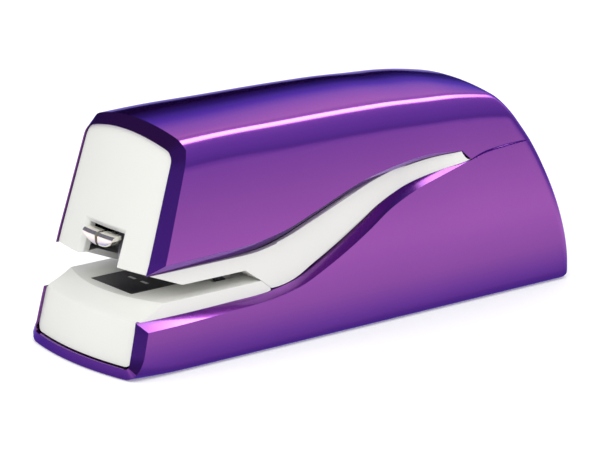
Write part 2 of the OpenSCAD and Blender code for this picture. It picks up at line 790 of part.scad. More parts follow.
module drive_motor() color(steel) {
    difference() {
        union() {
            bar(bracket_x - motor_l, bracket_x, motor_y, motor_z, motor_r);
            bar(bracket_x - 0.1, bracket_x + chassis_t, motor_y, motor_z, 3);
            bar(bracket_x - motor_l - 1.4, bracket_x - motor_l + 0.1, motor_y, motor_z, 3);
        }
        bar(bracket_x - 2.5, 30, motor_y, motor_z, 1 + turn_gap);
        for (s = [-1, 1]) bar(bracket_x - 3, 30, motor_y, motor_z + s * 6.5, 0.8);
    }
    for (s = [-1, 1]) box(bracket_x - motor_l - 2.4, bracket_x - motor_l + 0.1,
        motor_y + s * 6 - 0.2, motor_y + s * 6 + 0.2, motor_z - 1.2, motor_z + 1.2);
}

module motor_screws() color(black) {
    for (s = [-1, 1]) {
        bar(bracket_x - 2.8, bracket_x + chassis_t + 0.1, motor_y, motor_z + s * 6.5, 0.78);
        bar(bracket_x + chassis_t, bracket_x + chassis_t + 1, motor_y, motor_z + s * 6.5, 1.6);
    }
    for (y = bracket_feet) {
        post(10.2, y, chassis_z + 0.1, chassis_z + 2 * chassis_t + 0.1, 0.88);
        post(10.2, y, chassis_z + 2 * chassis_t, chassis_z + 2 * chassis_t + 1, 1.7);
    }
}

// ---- arm, lever and driver ----

arm_z0 = magazine_z - 0.5;
arm_top = 38.9;
arm_front = staple_y + 1;
guide = [driver_pin[0] - 4, driver_pin[0] + 4];     // Y range of the upright driver guides

// A slot with round ends, centred at c, in the YZ outline plane
module slot2d(c, dy, dz, r) {
    translate(c) {
        square([2 * dy + (dy > 0 ? 0 : 2 * r), 2 * dz + (dz > 0 ? 0 : 2 * r)], center = true);
        for (s = [-1, 1]) translate([s * dy, s * dz]) circle(r);
    }
}

module staple_arm() color(steel) {
    difference() {
        union() {
            slab_pair(arm_x, arm_x + steel_t) difference() {
                polygon(rounded([[arm_front, arm_z0, 0], [12.4, arm_z0, 1], [15.2, 35.6, 2],
                    [pivot_y, pivot_z - 4.3, 0], [pivot_y + 4.5, pivot_z - 4.3, 3.5],
                    [pivot_y + 4.5, pivot_z + 4.3, 3.5], [pivot_y - 3, pivot_z + 4.3, 3],
                    [16, arm_top + steel_t, 4], [guide[1], arm_top + steel_t, 0],
                    [guide[1], 61, 2], [guide[0], 61, 2], [guide[0], arm_top + steel_t, 0],
                    [arm_front, arm_top + steel_t, 0]]));
                slot2d([driver_pin[0], driver_pin[1] - driver_stroke / 2], 0,
                    driver_stroke / 2 + 0.3, crank_pin_r + 0.15);
            }
            // top web, and lips under the magazine
            box(-arm_x - 0.1, arm_x + 0.1, arm_front, 16, arm_top, arm_top + steel_t);
            for (s = [-1, 1]) box(s > 0 ? 6.7 : -arm_x - 0.1, s > 0 ? arm_x + 0.1 : -6.7,
                arm_front, 12, arm_z0, arm_z0 + 0.4);
            // tie under the magazine, which the return spring lifts
            box(-arm_x - 0.1, arm_x + 0.1, spring_y - 3.2, spring_y + 3.2, arm_z0 - 0.8, arm_z0);
            // tie across the rear, behind the magazine
            box(-arm_x - 0.1, arm_x + 0.1, 26, 40, pivot_z - 1.5, pivot_z);
        }
        bar(-30, 30, pivot_y, pivot_z, pivot_r + turn_gap);
    }
}

// Travel of the lever slot along Y as the lever swings, at the crank
crank_arm = [at_crank[0] - pivot_y, at_crank[1] + crank_r - pivot_z];
crank_slide = crank_arm[0] * (cos(lever_swing) - 1) - crank_arm[1] * sin(lever_swing);
slot_play = 1.1;

module drive_lever() color(dark_steel) {
    difference() {
        union() {
            slab_pair(lever_x, lever_x + steel_t) difference() {
                polygon(rounded([[guide[0], driver_pin[1] - 4.2, 3], [guide[0], 61, 3],
                    [-20, 62.5, 0], [4, 62.5, 6], [pivot_y - 3, pivot_z + 4.6, 4],
                    [pivot_y + 4.6, pivot_z + 4.6, 4], [pivot_y + 4.6, pivot_z - 4.6, 4],
                    [pivot_y - 5, pivot_z - 4.6, 4], [4, 53, 10], [-30, 53, 0]]));
                slot2d(driver_pin + [0.4, 0], 1.1, 0, crank_pin_r + 0.3);
                slot2d([at_crank[0] - 0.7, at_crank[1] + crank_r], 2.4, 0, crank_pin_r + slot_play);
            }
            box(-lever_x - 0.1, lever_x + 0.1, guide[1] + 3, -20, 61, 62.5);
        }
        bar(-30, 30, pivot_y, pivot_z, pivot_r + turn_gap);
        slab_pair(0, lever_x + 5) slot2d([at_crank[0] - 0.7, at_crank[1] + crank_r], 2.4, 0, 0.01);
    }
}

blade_t = 0.6;
blade_bottom = 38.3;
module driver_blade() color(dark_steel) {
    block_x = arm_x - 0.3;
    box(-block_x, block_x, staple_y - blade_t / 2, guide[1] - 0.5, 50.2, 60.4);
    box(-staple_w / 2 + 0.1, staple_w / 2 - 0.1, staple_y - blade_t / 2, staple_y + blade_t / 2,
        blade_bottom, 50.3);
    bar(-lever_x - steel_t - 0.4, lever_x + steel_t + 0.4, driver_pin[0], driver_pin[1], crank_pin_r);
}

spring_y = -30.2;
spring_z0 = 12;
module return_spring() color(steel) {
    translate([0, spring_y, spring_z0 + 0.05]) coil(2.7, 0.4, 7, arm_z0 - 0.8 - spring_z0 - 0.1, 6, 14);
}

// ---- magazine ----

mag_front = staple_y - 2;
mag_rear = mag_front + magazine_l;
strip_front = staple_y + 1.4;
rail_hw = staple_w / 2 - 0.9;
rail_top = magazine_z + magazine_t + staple_h - 0.7;
rod_z = magazine_z + 4;
pusher_y = strip_front + strip_l + 0.2;

module magazine() color(steel) difference() {
    union() {
        box(-magazine_hw, magazine_hw, mag_front, mag_front + 1, magazine_z, 40);
        box(-magazine_hw, magazine_hw, mag_rear - 1.2, mag_rear, magazine_z, magazine_z + 9);
        box(-magazine_hw, magazine_hw, strip_front, mag_rear, magazine_z, magazine_z + magazine_t);
        for (s = [-1, 1]) box(s > 0 ? magazine_hw - magazine_t : -magazine_hw,
            s > 0 ? magazine_hw : -magazine_hw + magazine_t, mag_front, mag_rear,
            magazine_z, magazine_z + 9);
    }
    translate([0, mag_rear + 1, rod_z]) rotate([90, 0, 0]) cylinder(r = 0.92, h = 4);
}

module staple_rail() color(steel) difference() {
    box(-rail_hw, rail_hw, strip_front, mag_rear - 1.2, magazine_z + magazine_t, rail_top);
    box(-rail_hw + 0.7, rail_hw - 0.7, strip_front + 1, mag_rear, 0, rail_top - 0.7);
    box(-1.4, 1.4, pusher_y - 4, mag_rear, 0, 60);
    translate([0, mag_rear, rod_z]) rotate([90, 0, 0]) cylinder(r = 0.92, h = magazine_l);
}

module pusher_rod() color(steel)
    translate([0, mag_rear, rod_z]) rotate([90, 0, 0]) cylinder(r = 0.9, h = mag_rear - strip_front - 0.2);

module staple_strip() color("#C9CCD0") difference() {
    box(-staple_w / 2, staple_w / 2, strip_front, strip_front + strip_l,
        magazine_z + magazine_t + 0.2, magazine_z + magazine_t + 0.2 + staple_h);
    box(-staple_w / 2 + 0.7, staple_w / 2 - 0.7, strip_front - 1, strip_front + strip_l + 1,
        0, magazine_z + magazine_t + staple_h - 0.4);
}

module pusher() color(black) difference() {
    union() {
        difference() {
            box(-6.6, 6.6, pusher_y, pusher_y + pusher_l, magazine_z + 1.2, magazine_z + 9);
            box(-rail_hw - 0.2, rail_hw + 0.2, 0 - big, big, 0, rail_top + 0.2);
        }
        box(-1.1, 1.1, pusher_y, pusher_y + pusher_l, rod_z, magazine_z + 9);
        box(-rail_hw + 1, rail_hw - 1, pusher_y, pusher_y + pusher_l, magazine_z + 1.1, rail_top - 1);
    }
    translate([0, big / 2, rod_z]) rotate([90, 0, 0]) cylinder(r = 0.98, h = big);
}

module pusher_spring() color(steel)
    translate([0, pusher_y + pusher_l + 0.05, rod_z]) rotate([-90, 0, 0])
        coil(1.6, 0.3, 9, mag_rear - 1.2 - pusher_y - pusher_l - 0.1, 6, 12);

nose_hw = 8.2;
nose_y = head_y - 0.3 + (40 - head_z) * lean - 1.4;
nose_z = [36.6, 41.3];
module magazine_nose() color("#D9DCE0") difference() {
    union() {
        box(-nose_hw, nose_hw, nose_y + 1, mag_front, 40, nose_z[1]);
        // rounded lip in front, curved up at its lower corners
        intersection() {
            box(-nose_hw, nose_hw, nose_y, nose_y + 1.6, nose_z[0], nose_z[1]);
            translate([0, nose_y + 3, nose_z[0] + 20]) rotate([90, 0, 0])
                cylinder(r = 20, h = 4, $fn = 120);
        }
        box(-magazine_hw, magazine_hw, mag_front - 0.1, mag_front + 1, 40, nose_z[1]);
    }
    box(-0.7, 0.7, nose_y - 1, nose_y + 7, 0, 50);
}

// ---- paper sensing and electronics ----

trigger_at = [-40, 15];
trigger_pin_r = 1;
module paper_trigger() color(black) difference() {
    slab(trigger_x - 1.4, trigger_x + 1.4) polygon(rounded([[-41.2, 9.2, 0.6], [-38.8, 9.2, 0.6],
        [-38.2, 16.4, 1], [-46.4, 23.6, 0], [-47.8, 26.4, 0.6], [-50, 26.4, 0.6],
        [-49.4, 23.6, 0], [-42.2, 15.8, 1]]));
    bar(0, 30, trigger_at[0], trigger_at[1], trigger_pin_r + turn_gap);
}

module trigger_pin() color(steel)
    bar(trigger_x - 4, trigger_x + 4, trigger_at[0], trigger_at[1], trigger_pin_r - 0.01);

board_t = 1.6;
module paper_switch() color(black) {
    box(trigger_x - 3, trigger_x + 3, -50.5, -44.6, board_z + board_t, board_z + board_t + 6);
    box(trigger_x - 1, trigger_x + 1, -44.7, -43.2, board_z + board_t + 1.4, board_z + board_t + 3.4);
}

module circuit_board() color("#2E6B45") difference() {
    box(-19, 19, -80, -44, board_z, board_z + board_t);
    for (p = board_posts) post(p[0], p[1], 0, 20, 0.95);
}

module board_parts() color(black) {
    top = board_z + board_t;
    box(-10, 2, -74, -64, top, top + 7);                // relay
    box(5, 11, -72, -64, top, top + 1.4);               // controller
    post(-15, -62, top, top + 8, 3);                    // capacitor
    box(-16, -8, -50, -45, top, top + 5);               // lead connector
    for (x = [4 : 3 : 10]) box(x, x + 1.6, -58, -55, top, top + 0.9);
}

// A round lead through hand-placed points
module lead(path, r = 0.6, sides = 8) {
    n = len(path);
    along = [for (i = [0 : n - 1]) unit(path[min(i + 1, n - 1)] - path[max(i - 1, 0)])];
    side = [for (a = along) unit(cross(a, abs(a[2]) > 0.8 ? [1, 0, 0] : [0, 0, 1]))];
    points = [for (i = [0 : n - 1], k = [0 : sides - 1]) let (b = 360 * k / sides)
        path[i] + r * (cos(b) * side[i] + sin(b) * cross(along[i], side[i]))];
    faces = concat(
        [[for (k = [0 : sides - 1]) k]],
        [for (i = [0 : n - 2], k = [0 : sides - 1]) let (j = (k + 1) % sides)
            each [[i * sides + k, (i + 1) * sides + k, (i + 1) * sides + j],
                [i * sides + k, (i + 1) * sides + j, i * sides + j]]],
        [[for (k = [sides - 1 : -1 : 0]) (n - 1) * sides + k]]);
    polyhedron(points, faces);
}

lead_end = board_z + board_t + 2.4;
module motor_leads() color("#B3312B") {
    for (s = [-1, 1]) lead([[-16.9, motor_y + s * 6, motor_z - 1.9], [-17.4, motor_y + s * 6, motor_z - 3.4],
        [-17.8, -22 + s, 10.6 - s * 0.8], [-17.4, -30, 10.6 - s * 0.8], [-14 + s * 1.4, -38, 11],
        [-12 + s * 1.4, -42, lead_end + 1], [-12 + s * 1.4, -44.9, lead_end + 1]]);
}

module supply_leads() color("#2B2D31") {
    for (s = [0, 1]) lead([[jack_at[0] - 2, 77.4, 6.4 + 1.8 * s], [jack_at[0] - 3, 76.2, 6.2 + 1.6 * s],
        [-15.4, 75.6, 6.2 + 1.6 * s], [-17.3, 73.4, 6.2 + 1.5 * s], [-17.3, 40, 6.2 + 1.5 * s],
        [-17.4, 18, 6.6 + 1.4 * s], [-18.4, 10, 6.6 + 1.4 * s], [-18.4, -24, 6.6 + 1.4 * s],
        [-16.4, -34, 6.8 + 1.4 * s], [-15, -40, 9.4 + 0.6 * s], [-14.6 + s * 1.6, -43, 10],
        [-14.6 + s * 1.6, -44.9, 10]], 0.5);
}

jack_y = [78, 90.2];
module supply_socket() color(black) {
    difference() {
        union() {
            box(jack_at[0] - 4.5, jack_at[0] + 4.5, jack_y[0], jack_y[0] + 9, floor_z + 0.1, jack_at[1] + 5);
            translate([jack_at[0], jack_y[1], jack_at[1]]) rotate([90, 0, 0])
                cylinder(r = jack_nose_r, h = 6);
        }
        translate([jack_at[0], jack_y[1] + 1, jack_at[1]]) rotate([90, 0, 0])
            cylinder(r = jack_bore_r, h = 11);
    }
    translate([jack_at[0], jack_y[1] - 0.6, jack_at[1]]) rotate([90, 0, 0])
        cylinder(r = jack_pin_r, h = jack_y[1] - jack_y[0] - 1.6);
}

// ---- fasteners ----

module screw(x, y, z_head, l, head_r) {
    post(x, y, z_head, z_head + 1.3, head_r);
    post(x, y, z_head + 1.2, z_head + l, screw_r - 0.02);
}

module housing_screws() color(black) {
    for (s = [-1, 1]) {
        screw(s * post_x, front_post_y, foot_z + 0.1, 24, 2.4);
        screw(s * post_x, rear_post_y, foot_z + 0.1, 54, 2.4);
        for (c = cover_posts) screw(s * c[0], c[1], foot_z + 0.1, 10, 2.2);
    }
}

module frame_screws() color(black) {
    for (s = [-1, 1]) screw(s * nose_post[0], nose_post[1], roof_z + 0.1, 12, 2.4);
}

module chassis_screws() color(black) {
    for (x = [-16.8, 16.8], y = [-23, 11]) {
        post(x, y, floor_z - 1.5, chassis_z + chassis_t + 0.1, 0.93);
        post(x, y, chassis_z + chassis_t, chassis_z + chassis_t + 1, 2);
    }
}

module board_screws() color(black) {
    for (p = board_posts) {
        post(p[0], p[1], floor_z - 1.4, board_z + board_t + 0.1, 0.83);
        post(p[0], p[1], board_z + board_t, board_z + board_t + 1, 1.7);
    }
}

lower_housing();
upper_housing();
mid_frame();
front_cover();
base_deck();
anvil_plate();
bottom_cover();
battery_door();
battery_tray();
batteries();
battery_springs();
battery_contacts();
feet();
chassis();
chassis_spacers();
motor_bracket();
drive_motor();
motor_screws();
motor_pinion();
first_gear();
second_gear();
crank_gear();
gear_axles();
axle_clips();
drive_lever();
driver_blade();
staple_arm();
pivot_shaft();
pivot_bushes();
pivot_clips();
return_spring();
magazine();
staple_rail();
magazine_nose();
staple_strip();
pusher();
pusher_rod();
pusher_spring();
paper_trigger();
trigger_pin();
paper_switch();
circuit_board();
board_parts();
motor_leads();
supply_leads();
supply_socket();
housing_screws();
frame_screws();
chassis_screws();
board_screws();
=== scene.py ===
import math

import bmesh
import bpy
import numpy as np
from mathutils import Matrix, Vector


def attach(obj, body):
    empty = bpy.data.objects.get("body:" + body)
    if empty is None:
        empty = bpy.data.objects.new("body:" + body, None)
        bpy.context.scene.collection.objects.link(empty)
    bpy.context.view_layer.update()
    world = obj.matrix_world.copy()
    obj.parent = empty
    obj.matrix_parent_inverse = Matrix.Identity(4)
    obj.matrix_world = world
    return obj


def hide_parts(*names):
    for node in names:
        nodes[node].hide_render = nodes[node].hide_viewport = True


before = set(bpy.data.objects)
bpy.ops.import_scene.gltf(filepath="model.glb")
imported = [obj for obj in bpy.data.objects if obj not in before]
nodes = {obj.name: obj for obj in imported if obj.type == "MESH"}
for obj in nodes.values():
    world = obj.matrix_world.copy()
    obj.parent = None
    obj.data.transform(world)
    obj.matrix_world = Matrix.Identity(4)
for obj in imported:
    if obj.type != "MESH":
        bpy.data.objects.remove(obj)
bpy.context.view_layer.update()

# ---- Camera ----
# A long lens to the right of the nose and a little above it.
turn, rise = math.radians(51.676), math.radians(15.816)
back = Vector((math.sin(turn) * math.cos(rise), -math.cos(turn) * math.cos(rise), math.sin(rise)))
camera = bpy.data.objects.new("camera", bpy.data.cameras.new("camera"))
bpy.context.scene.collection.objects.link(camera)
bpy.context.scene.camera = camera
camera.location = Vector((0, 0, 0.035)) + back * 1.1476
camera.rotation_mode = "QUATERNION"
camera.rotation_quaternion = (-back).to_track_quat("-Z", "Y")
camera.data.lens, camera.data.sensor_width = 210, 36
camera.data.shift_x, camera.data.shift_y = -0.0086, -0.0315
camera.data.clip_start, camera.data.clip_end = 0.01, 60

# ---- Upper housing ----
# The big purple cover: one ABS moulding, painted a metallic purple under clear lacquer.
# Its front and lower edges are cut back at 45 degrees, down to the white parts it frames.
MM = 0.001


def curve(*points):
    """A smooth curve through points, as a function of the first coordinate."""
    at, value = np.array(points, float).T
    slope = np.gradient(value, at)

    def read(s):
        s = np.clip(s, at[0], at[-1])
        i = np.clip(np.searchsorted(at, s) - 1, 0, len(at) - 2)
        h = at[i + 1] - at[i]
        t = (s - at[i]) / h
        ends = value[i] * (1 + 2 * t) * (1 - t) ** 2 + value[i + 1] * t * t * (3 - 2 * t)
        return ends + h * t * (1 - t) * (slope[i] * (1 - t) - slope[i + 1] * t)

    return read


crown = curve((-75, 75.9), (-60, 76.2), (-30, 76.2), (4, 75.8), (16, 75.4), (30, 74.4),
              (47, 72.9), (64, 69.6), (80, 65.0))
sag = curve((-75, 4.4), (-50, 4.2), (-30, 4.6), (-10, 4.8), (20, 4.8), (45, 4.1), (64, 3.0), (80, 2.4))
rear = curve((0.3, 94.1), (8.8, 94.1), (21, 91.7), (28, 89.3), (39.9, 83.8), (51.2, 77.1),
             (58.7, 71.4), (64.5, 66.8), (68, 64.2), (80, 55.7))


def half_width(z):
    return 29.26 - 0.04 * z


def crown_z(x, y):
    return crown(y) - sag(y) * (x / 25) ** 2


def rear_y(x, z):
    return rear(z) - x * x / 340


def nose_y(x, z):
    return -84.6 + (z - 32.1) * math.tan(math.radians(18)) + x * x / 218.6


def round_off(a, b, radius):
    """The distance out of two faces that meet in an edge of that radius."""
    both = np.hypot(np.maximum(a + radius, 0), np.maximum(b + radius, 0))
    return np.minimum(np.maximum(a, b), -radius) + both


def upper_form(p):
    side = np.abs(p[..., 0]) - half_width(p[..., 2])
    cap = p[..., 2] - crown_z(p[..., 0], p[..., 1])
    return round_off(round_off(side, cap, 6), (p[..., 1] - rear_y(p[..., 0], p[..., 2])) * 0.9, 2.5)


def settle(p, form, depth=0.0, still=()):
    """Moves points straight out or in until they lie on the form, depth below its skin."""
    step = 0.02
    for _ in range(10):
        slope = np.stack([(form(p + step * e) - form(p - step * e)) / (2 * step)
                          for e in np.eye(3)], -1)
        for axis in still:
            slope[..., axis] = 0
        size = np.maximum((slope ** 2).sum(-1, keepdims=True), 0.05)
        p = p - (form(p) + depth)[..., None] * slope / size
    return p


def spread(count, fine_start=True, fine_end=True):
    """Steps from 0 to 1, closer together at the ends that need it."""
    t = np.linspace(0, 1, count)
    if fine_start and fine_end:
        return 0.35 * t + 0.65 * (1 - np.cos(math.pi * t)) / 2
    if fine_end:
        return 1 - 0.4 * (1 - t) - 0.6 * (1 - t) ** 2
    return 0.4 * t + 0.6 * t * t if fine_start else t


def sheet_of(grid, keep=None):
    """Corner points and quads of a grid of points."""
    rows, cols = grid.shape[:2]
    quads = [(r * cols + c, r * cols + c + 1, (r + 1) * cols + c + 1, (r + 1) * cols + c)
             for r in range(rows - 1) for c in range(cols - 1) if keep is None or keep[r, c]]
    return grid.reshape(-1, 3), quads


def piece(name, sheets, sharp=24, soften=0.25, steps=2, weld=0.02):
    """One object from sheets of quads in millimetres, its hard edges softened a little."""
    mesh = bmesh.new()
    for points, quads in sheets:
        verts = [mesh.verts.new(q) for q in np.asarray(points) * MM]
        for quad in quads:
            corners = [verts[i] for i in quad]
            if len({tuple(round(c, 7) for c in v.co) for v in corners}) > 2:
                mesh.faces.new(corners)
    bmesh.ops.remove_doubles(mesh, verts=mesh.verts, dist=weld * MM)
    bmesh.ops.dissolve_degenerate(mesh, edges=mesh.edges, dist=0.5 * weld * MM)
    bmesh.ops.delete(mesh, geom=[v for v in mesh.verts if not v.link_faces], context="VERTS")
    bmesh.ops.recalc_face_normals(mesh, faces=mesh.faces)
    for face in mesh.faces:
        face.smooth = True
    data = bpy.data.meshes.new(name)
    mesh.to_mesh(data)
    mesh.free()
    made = bpy.data.objects.new(name, data)
    bpy.context.scene.collection.objects.link(made)
    if soften:
        bevel = made.modifiers.new("softened edges", "BEVEL")
        bevel.width, bevel.segments = soften * MM, steps
        bevel.limit_method, bevel.angle_limit = "ANGLE", math.radians(sharp)
        bevel.harden_normals, bevel.use_clamp_overlap = True, True
    return made


band_top = curve((-95, 32.1), (-59.6, 32.1), (-48, 32.15), (-40.1, 32.6), (-29.1, 34.5),
                 (-15.6, 38.9), (1.5, 45.0), (15.4, 48.5), (30.6, 51.1), (43.0, 51.9),
                 (44.2, 51.95), (44.7, 51.6), (47.9, 48.95), (48.4, 48.7), (49.4, 48.95),
                 (53, 49.9), (62, 50.9), (76, 51.3), (100, 51.3))
band_top_cut = curve((-95, 3.1), (18, 3.1), (30, 2.2), (44, 0.3), (100, 0.3))
band_top_depth = curve((-95, 3.25), (24, 3.25), (36, 1.8), (44, 0.3), (100, 0.3))


def housing(edge, cut, depth, form, cap, front, rim, side_rows, cap_cols, stations):
    """The skin of a housing: two sides and a cap that join a rear wall.
    edge is its seam with the band, cut and depth the bevel along it, and rim the front bevel."""
    rows, cols, along = spread(side_rows), np.linspace(-1, 1, cap_cols), stations
    ring = [(-1, v) for v in rows] + [(c, 1) for c in cols[1:-1]] + [(1, v) for v in rows[::-1]]
    c = np.array([r[0] for r in ring], float)[None, :]
    v = np.array([r[1] for r in ring], float)[None, :]
    t = along[:, None]
    side = np.abs(c) == 1
    z = np.full((len(along), len(ring)), 40.0)
    x = c * 28.0 + 0 * z
    for _ in range(12):
        y = (1 - t) * (front(x, z) + rim(z)) + t * rear_y(x, z)
        top = cap(c * half_width(z), y)
        start = edge(y) + cut(y)
        z = np.where(side, start + (top - start) * v, top)
        x = c * half_width(z)
    skin = settle(np.stack([x, y, z], -1), form)
    for k in (0, -1):
        skin[:, k] = settle(np.stack([x, y, z], -1)[:, k], form, 0, still=(2,))

    def deeper(p, by, at_z):
        q = p.copy()
        q[..., 2] = at_z
        q[..., 0] = np.sign(q[..., 0]) * (half_width(at_z) - by)
        q[..., 1] = np.minimum(q[..., 1], rear_y(q[..., 0], at_z) - by)
        return settle(q, form, by, still=(2,))

    sides = []
    for k in (0, -1):
        p = skin[:, k]
        low = edge(p[:, 1])
        sides.append((deeper(p, depth(p[:, 1]), low), deeper(p, 5.2, low)))
    grid = np.concatenate([sides[0][1][:, None], sides[0][0][:, None], skin,
                           sides[1][0][:, None], sides[1][1][:, None]], 1)
    first = skin[0]
    inner = first.copy()
    for _ in range(8):
        inner = settle(inner, form, 3.25)
        inner[:, 1] = front(inner[:, 0], inner[:, 2])
    mitre = []
    for k in (1, -2):
        q = grid[0, k].copy()
        for _ in range(4):
            q[1] = front(q[0], q[2])
        mitre.append(q)
    inner[0, 2], inner[-1, 2] = mitre[0][2], mitre[1][2]
    inner[0], inner[-1] = mitre[0], mitre[1]
    rim_row = np.concatenate([inner[:1], inner[:1], inner, inner[-1:], inner[-1:]], 0)
    deep = rim_row + np.array([0, 2.2, 0])
    return np.concatenate([deep[None], rim_row[None], grid], 0), skin, cols, rows


stations = np.concatenate([[0, 0.004, 0.012], np.linspace(0.025, 0.775, 96),
                           np.linspace(0.782, 0.826, 20), np.linspace(0.835, 0.9, 9),
                           [0.92, 0.94, 0.955, 0.97, 0.98, 0.99, 1.0]])
upper, skin, cols, rows = housing(
    band_top, band_top_cut, band_top_depth, upper_form, crown_z,
    lambda x, z: nose_y(x, z) - 0.3, lambda z: 3.4 - 0.9 * np.clip((z - 40) / 30, 0, 1), 26, 45,
    stations)


def rear_wall(skin, rows, cols, edge_z, form, lip):
    """The wall that closes the rear, from the seam to the cap, on the same grid lines."""
    n, m = len(rows), len(cols)
    last = skin[-1]
    left, cap, right = last[:n], last[n - 1:n + m - 1], last[-n:][::-1]
    wall = np.zeros((n, m, 3))
    c = cols[None, :]
    wall[..., 2] = edge_z + (np.stack([cap[:, 2]] * n) - edge_z) * rows[:, None]
    wall[..., 0] = c * half_width(wall[..., 2])
    wall[..., 1] = rear_y(wall[..., 0], wall[..., 2])
    wall = settle(wall, form)
    wall[:, 0], wall[:, -1], wall[-1] = left, right, cap
    inside = []
    for depth, drop in lip:
        row = wall[0].copy()
        row[:, 2] += drop
        row[:, 0] *= (half_width(51) - depth) / half_width(51)
        row[:, 1] -= depth
        inside.insert(0, settle(row, form, depth, still=(2,)))
    return np.concatenate([np.array(inside), wall], 0)


upper_rear = rear_wall(skin, rows, cols, skin[-1, 0, 2], upper_form, [(0.3, -0.3), (5.2, -0.3)])
upper_shell = piece("upper_shell", [sheet_of(upper), sheet_of(upper_rear)], weld=0.05)


class S:
    """A socket in a material, so that shader maths reads as plain expressions."""

    def __init__(self, tree, socket):
        self.tree, self.socket = tree, socket

    def math(self, operation, *values):
        return self.node("ShaderNodeMath", {"operation": operation}, *values)

    def node(self, kind, settings, *values, out=0, **named):
        made = self.tree.nodes.new(kind)
        for key, value in settings.items():
            if key == "stops":
                ramp = made.color_ramp
                while len(ramp.elements) < len(value):
                    ramp.elements.new(0.5)
                for element, (place, colour) in zip(ramp.elements, value):
                    element.position, element.color = place, (*colour, 1)
            else:
                setattr(made, key, value)
        for key, value in [*enumerate(values), *named.items()]:
            target = made.inputs[key]
            if isinstance(value, S):
                self.tree.links.new(value.socket, target)
            else:
                target.default_value = value
        return S(self.tree, made.outputs[out])

    def __add__(self, other):
        return self.math("ADD", self, other)

    def __mul__(self, other):
        return self.math("MULTIPLY", self, other)

    def __sub__(self, other):
        return self.math("SUBTRACT", self, other)

    def __rsub__(self, other):
        return self.math("SUBTRACT", other, self)

    __radd__, __rmul__ = __add__, __mul__


def finish_of(name, make, **fixed):
    """A material whose varying sockets come from make, and whose others are fixed values."""
    material = bpy.data.materials.new(name)
    material.use_nodes = True
    tree = material.node_tree
    shader = tree.nodes["Principled BSDF"]
    for key, value in fixed.items():
        shader.inputs[key.replace("_", " ")].default_value = value
    start = S(tree, None)
    place = start.node("ShaderNodeTexCoord", {}, out="Object")
    for key, value in make(place).items():
        tree.links.new(value.socket, shader.inputs[key])
    return material


def linear(code):
    """The linear colour of a code as printed on a paint card."""
    parts = [int(code[i:i + 2], 16) / 255 for i in (1, 3, 5)]
    return tuple(p / 12.92 if p < 0.04045 else ((p + 0.055) / 1.055) ** 2.4 for p in parts)


def ramp(socket, *stops):
    return socket.node("ShaderNodeValToRGB", {"stops": stops}, socket)


def purple_lacquer(place):
    flake = place.node("ShaderNodeTexNoise", {}, Vector=place, Scale=5200, Detail=2, Roughness=0.6)
    cloud = place.node("ShaderNodeTexNoise", {}, Vector=place, Scale=28, Detail=3, Roughness=0.5)
    tone = place.node("ShaderNodeMix", {"data_type": "RGBA"}, Factor=cloud)
    mix = tone.socket.node
    tone = S(tone.tree, mix.outputs[2])
    mix.inputs[6].default_value = (*linear("#83409A"), 1)
    mix.inputs[7].default_value = (*linear("#8B47A0"), 1)
    return {
        "Base Color": tone,
        "Roughness": 0.13 + 0.05 * flake,
        "Normal": place.node("ShaderNodeBump", {}, Strength=0.03, Distance=0.00004, Height=flake),
    }


purple = finish_of("purple_gloss", purple_lacquer, Metallic=0.94, Specular_Tint=(0.5, 0.34, 0.92, 1), Coat_Weight=0.6,
                   Coat_Roughness=0.03, Coat_IOR=1.5)
upper_shell.data.materials.append(purple)
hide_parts("upper_housing")
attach(upper_shell, "root")

# ---- Lower housing ----
# The purple tub the works stand in, moulded and painted like the cover. It frames the white
# deck at the front as a U, and meets the cover at a fine seam behind the white band.
band_low = curve((-100, 18.0), (-85.7, 18.15), (-68.3, 18.3), (-50.9, 18.8), (-33.5, 19.6),
                 (-22.8, 21.8), (-13.7, 25.6), (-4.6, 30.0), (4.7, 35.1), (12.9, 40.0),
                 (23.4, 44.0), (36.4, 46.7), (47.6, 48.5), (48.4, 48.62), (49.4, 48.83), (53, 49.76),
                 (62, 50.76), (76, 51.14), (100, 51.14))
low_cut = curve((-100, -2.9), (-60, -2.7), (-30, -2.4), (10, -2.5), (24, -2.0), (36, -1.2),
                (47, -0.3), (100, -0.3))
low_depth = curve((-100, 3.25), (20, 3.25), (36, 1.5), (47, 0.3), (100, 0.3))
ground = 0.35


def toe_y(x, z):
    return -94.0 + (z - ground) * 0.25 + x * x / 218.6


def lower_form(p):
    corner = 2.2 + 3.0 * np.exp(-((p[..., 1] + 94) / 12) ** 2)
    side = np.abs(p[..., 0]) - half_width(p[..., 2])
    walls = round_off(side, (p[..., 1] - rear_y(p[..., 0], p[..., 2])) * 0.9, 2.5)
    return round_off(walls, ground - p[..., 2], corner)


low_stations = np.concatenate([[0, 0.003, 0.008, 0.014, 0.02], np.linspace(0.03, 0.795, 98),
                               np.linspace(0.8, 0.846, 16), np.linspace(0.855, 0.93, 9),
                               [0.945, 0.96, 0.97, 0.98, 0.99, 1.0]])
lower, low_skin, low_cols, low_rows = housing(
    band_low, low_cut, low_depth, lower_form, lambda x, y: ground + 0 * (x + y), toe_y,
    lambda z: 0.6 + 1.6 * np.clip((z - 2) / 5, 0, 1), 26, 45, low_stations)
open_floor = np.ones(lower.shape[:2], bool)
middle = slice(2 + 26 + 2, -(2 + 26 + 3))
open_floor[6:-3, middle] = False
lower_rear = rear_wall(low_skin, low_rows, low_cols, low_skin[-1, 0, 2], lower_form,
                       [(0.3, 0.3), (5.2, 0.3)])
lower_shell = piece("lower_shell", [sheet_of(lower, open_floor), sheet_of(lower_rear)], weld=0.05)
lower_shell.data.materials.append(purple)
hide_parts("lower_housing")
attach(lower_shell, "root")

